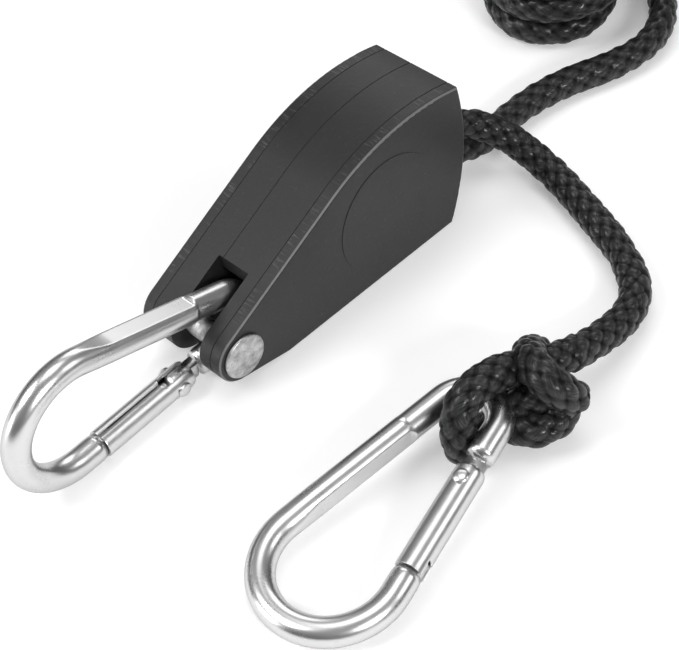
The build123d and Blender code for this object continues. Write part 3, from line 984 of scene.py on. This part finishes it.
@dataclass
class Ropework:
    """Every stretch of the rope: inside, load line, knot, and tail with its hank."""

    paints: Paints
    braid: Braid = field(default_factory=Braid)
    body: str = "housing"
    mouth_upper: tuple[float, float, float] = (26.0, -1.0, 16.83)
    mouth_lower: tuple[float, float, float] = (26.0, -1.0, 7.6)
    load_points: list[tuple[float, float, float]] = field(default_factory=lambda: [
        (33.0, -1.3, 14.4), (41.3, -6.4, 10.2), (44.0, -18.5, 3.8), (39.2, -33.0, 3.2),
        (34.4, -45.4, 3.2), (27.4, -54.6, 3.2), (16.0, -57.2, 4.4), (3.9, -57.0, 8.4),
    ])
    tail_points: list[tuple[float, float, float]] = field(default_factory=lambda: [
        (33.0, -1.0, 6.6), (42.0, -1.9, 3.3), (54.0, -0.6, 3.2), (66.5, -2.4, 3.2),
        (78.0, -7.4, 3.2), (89.0, -8.8, 3.2), (98.5, -5.0, 3.3), (105.5, 2.5, 3.4),
    ])
    knot_points: list[tuple[float, float, float]] = field(default_factory=lambda: [
        (6.8, -56.9, 7.4), (0.6, -56.1, 9.0), (-5.5, -54.9, 12.0), (-11.9, -53.5, 15.0),
        (-19.3, -53.2, 15.0), (-21.9, -53.8, 10.0), (-22.2, -54.5, 4.5), (-19.9, -55.7, 3.5),
        (-12.8, -54.3, 3.9), (-9.3, -57.1, 8.0), (-6.1, -60.9, 9.8), (-4.4, -63.5, 7.5),
        (-7.3, -63.8, 5.5), (-11.5, -61.9, 5.2), (-12.4, -56.9, 4.3), (-7.2, -53.7, 3.5),
        (0.4, -52.3, 3.5), (3.4, -51.5, 5.0), (-1.0, -52.1, 10.5), (-6.5, -57.0, 15.5),
        (-8.6, -62.7, 16.8), (-6.6, -65.4, 13.6), (-3.7, -65.6, 9.5),
    ])

    def build(self) -> None:
        """Make the four stretches."""
        self.inside()
        knot = self.knot()
        self.load_line(knot)
        self.tail()

    def finished(self, piece: bpy.types.Object, *nodes: str) -> None:
        """Dress a stretch and put it in place of its nodes."""
        self.paints.stand_in(piece, Finish.ROPE, self.body, *nodes)

    def inside(self) -> None:
        """The rope from mouth to mouth round the wheel."""
        low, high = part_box("rope_wheel")
        middle = (low + high) / 2 / MM
        reach, slack = 7.4, 1.012
        fall, wrap = math.radians(17.0), math.radians(197.0)
        groove = self.mouth_upper[1]
        path = [self.mouth_upper]
        touch = (middle.x + reach * math.sin(fall), groove, middle.z + reach * math.cos(fall))
        for share in (0.35, 0.7, 0.9):
            path.append(tuple(a + share * (b - a) for a, b in zip(self.mouth_upper, touch)))
        for k in range(13):
            turn = math.pi / 2 - fall + k / 12 * wrap
            out = slack * reach
            path.append((middle.x + out * math.cos(turn), groove, middle.z + out * math.sin(turn)))
        for share in (0.1, 0.35, 0.7, 1.0):
            path.append((middle.x + share * (self.mouth_lower[0] - middle.x), groove, self.mouth_lower[2]))
        line = Route(path).line(self.braid.spacing)
        piece = self.braid.tube("rope_round_wheel", line, 11)
        self.finished(piece, "rope_in_housing")

    def load_line(self, knot: bpy.types.Object) -> None:
        """The stretch from the mouth to the knot.

        Args:
            knot: The knot at its far end; not used.
        """
        line = Route([self.mouth_upper, *self.load_points]).line(self.braid.spacing)
        piece = self.braid.tube("load_line", line, 23)
        self.finished(piece, "rope_load_line")

    def knot(self) -> bpy.types.Object:
        """The loop through the hook's eye and the knot that closes it.

        Returns:
            The knot's piece.
        """
        snug = Braid(diameter=6.8, lay=3.8, samples=60)
        line = Route(self.knot_points).line(snug.spacing)
        piece = snug.tube("loop_knot", line, 37, closed_end=True)
        self.finished(piece, "rope_knot")
        return piece

    def tail(self) -> None:
        """The stretch from the mouth along the floor, and its hank."""
        coarse = Braid(samples=36, spacing=0.55)
        hank = Hank()
        line = Route([self.mouth_lower, *self.tail_points, *hank.points()]).line(coarse.spacing)
        piece = coarse.tube("tail_and_hank", line, 51, closed_end=True)
        self.finished(piece, "rope_tail_line", "rope_hank")


# ---------------------------------------------------------------- snap hooks
@dataclass
class SnapHook:
    """A bent-wire hook with a pressed spine and a folded, sprung gate."""

    label: str
    place: Matrix
    frame_body: str
    gate_body: str
    paints: Paints
    wire: float = 2.68
    big: float = 12.29
    eye: float = 6.11
    spacing: float = 36.24
    press_start: float = 7.2
    press_end: float = 27.0
    press_blend: float = 8.5
    pressed: float = 2.1
    spread: float = 0.22
    hinge_x: float = 11.04
    shoulder: float = 4.87
    nose: float = 19.2
    gate_outer: float = 2.8
    gate_sheet: float = 0.6
    gate_tail: float = 3.2
    gate_length: float = 18.85
    window_half: float = 1.45
    window_end: float = 3.7
    window_run: float = 0.8
    lip_gap: float = 0.20
    lip_roll: float = 0.30
    lip_width: float = 0.17
    slot_start: float = 15.9
    slot_half: float = 1.3
    end_round: float = 0.25
    end_shrink: float = 0.07
    pin_radius: float = 0.8
    pin_head: float = 1.5
    around: int = 56

    def __post_init__(self) -> None:
        """Work out the lean of the two sides and the gate's frame."""
        self.lean = self.side_lean()
        self.pin = self.pin_from_eye()
        self.gate_place = self.place @ Matrix.Translation(self.pin) @ Matrix.Rotation(-self.lean, 4, "Z")

    @classmethod
    def side_lean(cls) -> float:
        """How far each side leans from the hook's length, in radians."""
        return math.asin((cls.big - cls.eye) / cls.spacing)

    @classmethod
    def pin_from_eye(cls) -> Vector:
        """The hinge pin's place.

        Returns:
            The place in the hook's frame, in millimetres.
        """
        lean = cls.side_lean()
        start = Vector((-cls.eye * math.sin(lean), -cls.eye * math.cos(lean), 0))
        run = (cls.hinge_x - start.x) / math.cos(lean)
        return Vector((cls.hinge_x, start.y - run * math.sin(lean), 0))

    def build(self) -> None:
        """Make every piece of the hook."""
        self.wire_frame()
        self.gate()
        self.gate_pin()
        self.gate_spring()
        node = self.label + "_plunger"
        self.paints.dress_node(node, Finish.PIN)
        LOG.info("hook %s built", self.label)

    def finished(self, name: str, skin: tuple[Points, Faces], place: Matrix, finish: Finish,
                 body: str) -> bpy.types.Object:
        """Make a piece of the hook and put it in place of its node.

        Args:
            name: The node's name after the hook's label.
            skin: Its points and faces in the given place's frame, in millimetres.
            place: That frame.
            finish: Its finish.
            body: The body it rides on.

        Returns:
            The piece.
        """
        points, faces = skin
        piece = mesh_object(f"{self.label}_{name}_piece", carried(place, points), faces)
        self.paints.stand_in(piece, finish, body, f"{self.label}_{name}")
        return piece

    def centreline(self) -> tuple[Points, np.ndarray]:
        """The wire's middle from nose to hinge, and how far each point is pressed.

        Returns:
            The points in the hook's frame, and shares from 0, round, to 1, pressed flat.
        """
        lean = self.lean
        out_gate = np.array([-math.sin(lean), -math.cos(lean), 0])
        out_spine = np.array([-math.sin(lean), math.cos(lean), 0])
        far = np.array([self.spacing, 0, 0])
        along_gate = np.array([math.cos(lean), -math.sin(lean), 0])
        pin = np.array(self.pin)
        points = []
        points += self.straight(pin + along_gate * self.nose, far + out_gate * self.big, 1.0)
        points += self.arc(far, self.big, -math.pi / 2 - lean, math.pi / 2 + lean, 60)
        spine_start, spine_end = far + out_spine * self.big, out_spine * self.eye
        first = len(points)
        points += self.straight(spine_start, spine_end, 0.3)
        last = len(points)
        points += self.arc(np.zeros(3), self.eye, math.pi / 2 + lean, 1.5 * math.pi - lean, 44)
        points += self.straight(out_gate * self.eye, pin - along_gate * self.shoulder, 1.0)
        line = np.array(points)
        pressed = np.zeros(len(line))
        x = line[first:last, 0]
        rise = np.clip((x - self.press_start) / 0.5, 0, 1)
        fall = np.clip((self.press_end + self.press_blend - x) / self.press_blend, 0, 1)
        pressed[first:last] = rise * eased(fall)
        return line, pressed

    @staticmethod
    def straight(start: Points, end: Points, step: float) -> list[Points]:
        """Points from start to just before the end."""
        count = max(3, int(np.linalg.norm(end - start) / step))
        return [start + (end - start) * k / count for k in range(count)]

    @staticmethod
    def arc(middle: Points, radius: float, start: float, end: float, count: int) -> list[Points]:
        """Points of an arc, without its last."""
        turns = [start + (end - start) * k / count for k in range(count)]
        return [middle + radius * np.array([math.cos(t), math.sin(t), 0]) for t in turns]

    def wire_frame(self) -> None:
        """The bent wire with its tongue and its nose."""
        line, pressed = self.centreline()
        outward = np.cross(directions(line), [0, 0, 1.0])
        turn = np.linspace(0, 2 * math.pi, self.around, endpoint=False)
        rings = []
        gaps = np.concatenate([[0], np.cumsum(np.linalg.norm(np.diff(line, axis=0), axis=1))])
        for k, (middle, out, press) in enumerate(zip(line, outward, pressed)):
            flat = self.pressed + (self.wire - self.pressed) * (1 - press)
            wide = self.wire + self.spread * press
            inward = self.wire * np.cos(turn)
            inward = np.clip(inward, -flat, flat)
            section = middle + out * inward[:, None]
            section = section + np.array([0, 0, 1.0]) * (wide * np.sin(turn))[:, None]
            near_end = min(gaps[k], gaps[-1] - gaps[k])
            if near_end < self.end_round:
                shrink = 1 - self.end_shrink * (1 - near_end / self.end_round) ** 2
                section = middle + (section - middle) * shrink
            rings.append(section)
        wire = capped_tube(rings)
        tongue = self.tongue()
        nose = rounded_block((self.nose - 3.0, -2.35, -1.0), (self.nose + 0.4, 1.9, 1.0), 0.25)
        gate_to_hook = self.place.inverted() @ self.gate_place
        turned = np.array(gate_to_hook.to_3x3())
        moved = [((p @ turned.T) + np.array(gate_to_hook.translation), f) for p, f in (tongue, nose)]
        self.finished("frame", joined([wire, *moved]), self.place, Finish.ZINC, self.frame_body)

    def tongue(self) -> tuple[Points, Faces]:
        """The flattened end that the gate turns on.

        Returns:
            Its points in the gate's frame, and its faces.
        """
        half, tip = 1.2, 1.8
        outline = [(-self.shoulder - 0.4, -tip), (0.0, -tip)]
        outline += [(tip * math.sin(t), -tip * math.cos(t)) for t in np.linspace(0.2, math.pi - 0.2, 14)]
        outline += [(0.0, tip), (-self.shoulder - 0.4, tip)]
        flat = np.array(outline)
        middle = flat.mean(0)
        rings = []
        for z, shrink in ((-half, 0.93), (-half + 0.18, 1.0), (half - 0.18, 1.0), (half, 0.93)):
            ring = middle + (flat - middle) * shrink
            rings.append(np.column_stack([ring, np.full(len(ring), z)]))
        return capped_tube(rings)

    def gate(self) -> None:
        """The folded sheet, slit along its inner side, open at the hinge and notched at the nose."""
        cuts = [2.9, 3.3, self.window_end, self.slot_start]
        stations = np.unique(np.r_[np.linspace(-self.gate_tail, self.gate_length, 60), cuts])
        columns = 72
        outer, inner = [], []
        for x in stations:
            outer.append(self.sheet_ring(x, self.gate_outer, columns))
            inner.append(self.sheet_ring(x, self.gate_outer - self.gate_sheet, columns))
        held = np.ones((len(stations) - 1, columns), bool)
        places = (stations[:-1] + stations[1:]) / 2
        turns = 2 * math.pi * (np.arange(columns) + 0.5) / columns
        slot = np.abs(turns - math.pi) < self.slot_half / self.gate_outer
        held[np.ix_(places > self.slot_start, slot)] = False
        skin = sheet_skin(np.array(outer), np.array(inner), held)
        piece = self.finished("gate", skin, self.gate_place, Finish.SHEET, self.gate_body)
        soften(piece, 0.10 * MM, 50.0, 38.0)

    def sheet_ring(self, x: float, radius: float, columns: int) -> Points:
        """One line round the folded sheet.

        Args:
            x: Its place from the pin.
            radius: Radius of the face that it follows.
            columns: Steps round it.

        Returns:
            The points, from one lip to the other.
        """
        opened = eased(min(1.0, max(0.0, (self.window_end - x) / self.window_run)))
        gap = self.lip_gap + (self.window_half - self.lip_gap) * opened
        start = math.asin(gap / self.gate_outer)
        tail = 1 - 0.12 * max(0.0, (0.9 - x - self.gate_tail) / 0.9) ** 2
        turn = np.linspace(start, 2 * math.pi - start, columns + 1)
        from_lip = np.minimum(turn, 2 * math.pi - turn) - start
        rolled = self.lip_roll * np.exp(-((from_lip / self.lip_width) ** 2)) * (1 - opened)
        reach = (radius - rolled) * tail
        return np.stack([np.full(columns + 1, x), reach * np.cos(turn), reach * np.sin(turn)], 1)

    def gate_pin(self) -> None:
        """The pin with a domed head each side."""
        head_height = 0.65
        reach = self.gate_outer
        dome = [(self.pin_head * math.cos(t), reach + 0.08 + (head_height - 0.08) * math.sin(t))
                for t in np.linspace(0, 1.42, 9)]
        upper = [(self.pin_radius, reach - 0.3), (self.pin_head * 0.96, reach - 0.06), *dome]
        lower = [(r, -z) for r, z in reversed(upper)]
        self.finished("gate_pin", lathe([*lower, *upper], 40), self.gate_place, Finish.ZINC, self.gate_body)

    def gate_spring(self) -> None:
        """The coil behind the plunger."""
        low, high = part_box(self.label + "_gate_spring")
        local = self.gate_place.inverted() @ ((low + high) / 2 / MM)
        points, faces = coil_skin(1.62, 0.42, 6.4, 9)
        turned = np.array(Matrix.Rotation(math.pi / 2, 3, "Y"))
        along = points @ turned.T + np.array([local.x, 0, 0])
        self.finished("gate_spring", (along, faces), self.gate_place, Finish.SPRING, self.gate_body)


def coil_skin(radius: float, wire: float, length: float, turns: int) -> tuple[Points, Faces]:
    """A helical spring about Z, centred on the origin.

    Args:
        radius: Radius of the wire's middle, in millimetres.
        wire: The wire's diameter.
        length: Length between the ends' middles.
        turns: Number of turns.

    Returns:
        The closed skin's points and faces.
    """
    count = turns * 20
    t = np.linspace(0, 1, count + 1)
    turn = 2 * math.pi * turns * t
    line = np.stack([radius * np.cos(turn), radius * np.sin(turn), (t - 0.5) * (length - wire)], 1)
    angle = np.linspace(0, 2 * math.pi, 10, endpoint=False)[None, :]
    return capped_tube(rings_along(line, wire / 2, angle + 0 * turn[:, None]))


# ---------------------------------------------------------------- housing
@dataclass
class Housing:
    """The two shells with what shows of the rivet, wheel, pawl and screws."""

    paints: Paints
    edge_round: float = 0.14

    def build(self) -> None:
        """Dress and make the housing's pieces."""
        for node in ("front_shell", "back_shell"):
            self.shell(node)
        self.rivet()
        self.pawl_spring()
        for node, finish in (("shell_screws", Finish.SCREW), ("rope_wheel", Finish.WHEEL),
                             ("wheel_axle", Finish.PIN), ("pawl", Finish.PAWL), ("pawl_pin", Finish.PIN)):
            self.paints.dress_node(node, finish)
        LOG.info("housing built")

    def shell(self, node: str) -> None:
        """A shell with smooth shading over its curved walls.

        Args:
            node: The shell's node.
        """
        source = frame["nodes"][node]
        piece = bpy.data.objects.new(node + "_moulding", source.data.copy())
        bpy.context.scene.collection.objects.link(piece)
        cleaned(piece, 0.002 * MM, 0.4)
        soften(piece, self.edge_round * MM, 32.0, 36.0)
        even = piece.modifiers.new("even", "WEIGHTED_NORMAL")
        even.keep_sharp = True
        even.weight = 100
        apply_modifiers(piece)
        self.paints.stand_in(piece, Finish.PLASTIC, "housing", node)

    @staticmethod
    def crosswise(node: str) -> tuple[Matrix, float]:
        """A frame in a node's middle with Z across the housing.

        Args:
            node: The node's name.

        Returns:
            The frame, and the node's width in millimetres.
        """
        low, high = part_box(node)
        middle = (low + high) / 2 / MM
        return Matrix.Translation(middle) @ Matrix.Rotation(math.pi / 2, 4, "X"), (high.y - low.y) / MM

    def rivet(self) -> None:
        """The rivet with its flat domed heads, slightly sunk at the rim."""
        place, width = self.crosswise("clevis_rivet")
        head, shaft, face = 4.65, 2.4, width / 2 - 1.0
        rim = [(head * 0.985, face), (head, face + 0.12), (head, face + 0.34), (head * 0.985, face + 0.5)]
        crown = [(head * math.cos(t), face + 0.5 + 0.5 * math.sin(t)) for t in np.linspace(0.25, 1.5, 12)]
        upper = [(shaft, face - 0.05), *rim, *crown]
        profile = [*((r, -z) for r, z in reversed(upper)), *upper]
        points, faces = lathe(profile, 72)
        piece = mesh_object("clevis_rivet_piece", carried(place, points), faces)
        self.paints.stand_in(piece, Finish.RIVET, "housing", "clevis_rivet")

    def pawl_spring(self) -> None:
        """The torsion spring on the pawl's pin."""
        place, width = self.crosswise("pawl_spring")
        points, faces = coil_skin(1.65, 0.46, width, 5)
        piece = mesh_object("pawl_spring_coil", carried(place, points), faces)
        self.paints.stand_in(piece, Finish.SPRING, "housing", "pawl_spring")


# ---------------------------------------------------------------- studio
@dataclass
class Studio:
    """Floor, lights and camera."""

    azimuth: float = 51.12
    elevation: float = 46.16
    roll: float = 8.40
    aim: tuple[float, float] = (-11.9, -13.4)
    distance: float = 344.4
    lens: float = 95.4

    def build(self) -> None:
        """Set up the whole studio."""
        self.floor()
        self.world()
        self.lights()
        self.camera()
        bpy.context.scene.view_settings.view_transform = "Standard"
        LOG.info("studio built")

    def floor(self) -> None:
        """A wide pale floor."""
        reach = 3.0
        corners = np.array([(-reach, -reach, 0), (reach, -reach, 0), (reach, reach, 0), (-reach, reach, 0)])
        floor = mesh_object("studio_floor", corners + [0, 0, -0.00005], [(0, 1, 2, 3)])
        g = Graph("pale_floor")
        cloud = g.noise(3.0, 2.0)
        g.feed("Base Color", g.mix(cloud, grey(0.80), grey(0.82)))
        g.feed("Roughness", 0.9)
        g.feed("Emission Color", grey(1.0))
        g.feed("Emission Strength", 0.27)
        g.feed("Specular IOR Level", 0.1)
        floor.data.materials.append(g.material)

    def world(self) -> None:
        """A soft white surround that darkens low down, as a studio's walls do."""
        world = bpy.data.worlds.new("surround")
        world.use_nodes = True
        tree = world.node_tree
        back = tree.nodes["Background"]
        place = tree.nodes.new("ShaderNodeTexCoord")
        split = tree.nodes.new("ShaderNodeSeparateXYZ")
        ramp = tree.nodes.new("ShaderNodeValToRGB")
        tree.links.new(place.outputs["Generated"], split.inputs[0])
        tree.links.new(split.outputs["Z"], ramp.inputs[0])
        tree.links.new(ramp.outputs["Color"], back.inputs["Color"])
        stops = [(0.0, 0.03), (0.20, 0.06), (0.42, 0.34), (1.0, 0.52)]
        Graph.set_stops(ramp.color_ramp, stops)
        back.inputs["Strength"].default_value = 0.62
        bpy.context.scene.world = world

    def area(self, name: str, place: Sequence[float], size: Sequence[float], power: float) -> None:
        """Add a soft light aimed at the hanger.

        Args:
            name: The light's name.
            place: Where it stands, in metres.
            size: Its width and height.
            power: Its power in watts.
        """
        light = bpy.data.lights.new(name, "AREA")
        light.shape = "RECTANGLE"
        light.size, light.size_y = size
        light.energy = power
        holder = bpy.data.objects.new(name, light)
        holder.location = place
        aim = Vector((0.0, 0.0, 0.0)) - Vector(place)
        holder.rotation_euler = aim.to_track_quat("-Z", "Y").to_euler()
        bpy.context.scene.collection.objects.link(holder)

    def lights(self) -> None:
        """Six soft lights round the hanger."""
        self.area("rim", (-0.18, -0.80, 0.48), (0.30, 0.16), 4.5)
        self.area("back", (0.66, 0.48, 0.60), (0.6, 0.45), 1.9)
        self.area("side", (-0.85, 0.50, 0.22), (0.40, 0.30), 2.2)
        self.area("key", (-0.55, 0.35, 0.75), (0.5, 0.4), 4.0)
        self.area("fill", (0.55, -0.75, 0.65), (0.4, 0.4), 1.5)
        self.area("top", (0.1, 0.1, 1.1), (0.6, 0.6), 2.6)

    def camera(self) -> None:
        """The camera, from its angles and distance."""
        turn, rise = math.radians(self.azimuth), math.radians(self.elevation)
        forward = Vector((math.cos(rise) * math.cos(turn), math.cos(rise) * math.sin(turn), -math.sin(rise)))
        level = forward.cross(Vector((0, 0, 1))).normalized()
        right = Matrix.Rotation(math.radians(self.roll), 3, forward) @ level
        up = right.cross(forward)
        place = Vector((*self.aim, 0.0)) * MM - forward * self.distance * MM
        basis = Matrix((right, up, -forward)).transposed().to_4x4()
        data = bpy.data.cameras.new("camera")
        data.lens = self.lens
        data.sensor_width = 36.0
        data.clip_start = 0.01
        camera = bpy.data.objects.new("camera", data)
        camera.matrix_world = Matrix.Translation(place) @ basis
        bpy.context.scene.collection.objects.link(camera)
        bpy.context.scene.camera = camera


def hook_place(label: str, hook: type[SnapHook]) -> Matrix:
    """A hook's frame in the row's frame, in millimetres, from the record's joints and mounts.

    Args:
        label: The hook's name.
        hook: The class that holds a hook's sizes.

    Returns:
        The frame: its origin in the eye, X towards the big loop, Y towards the spine.
    """
    record = frame["record"]
    mount = next(m for m in record["mounts"] if m["name"] == label + "_opening")
    joint = next(j for j in frame["joints"] if j["name"] == label.replace("hook", "gate") + "_swing")
    far, pin = Vector(mount["pos_m"]) / MM, Vector(joint["pos_m"]) / MM
    normal = Vector(joint["axis"]).normalized()
    local = hook.pin_from_eye()
    across = far - pin
    across = (across - normal * across.dot(normal)).normalized()
    offset = Vector((hook.spacing, 0, 0)) - local
    along = Matrix.Rotation(-math.atan2(offset.y, offset.x), 3, normal) @ across
    basis = Matrix((along, normal.cross(along), normal)).transposed().to_4x4()
    return Matrix.Translation(far - along * hook.spacing) @ basis


def main() -> None:
    """Build the hanger and its studio."""
    logging.basicConfig(level=logging.INFO)
    Studio().build()
    paints = Paints()
    Ropework(paints).build()
    Housing(paints).build()
    for label in ("top_hook", "load_hook"):
        SnapHook(label, hook_place(label, SnapHook), label, label.replace("hook", "gate"), paints).build()


if __name__ == "__main__":
    main()
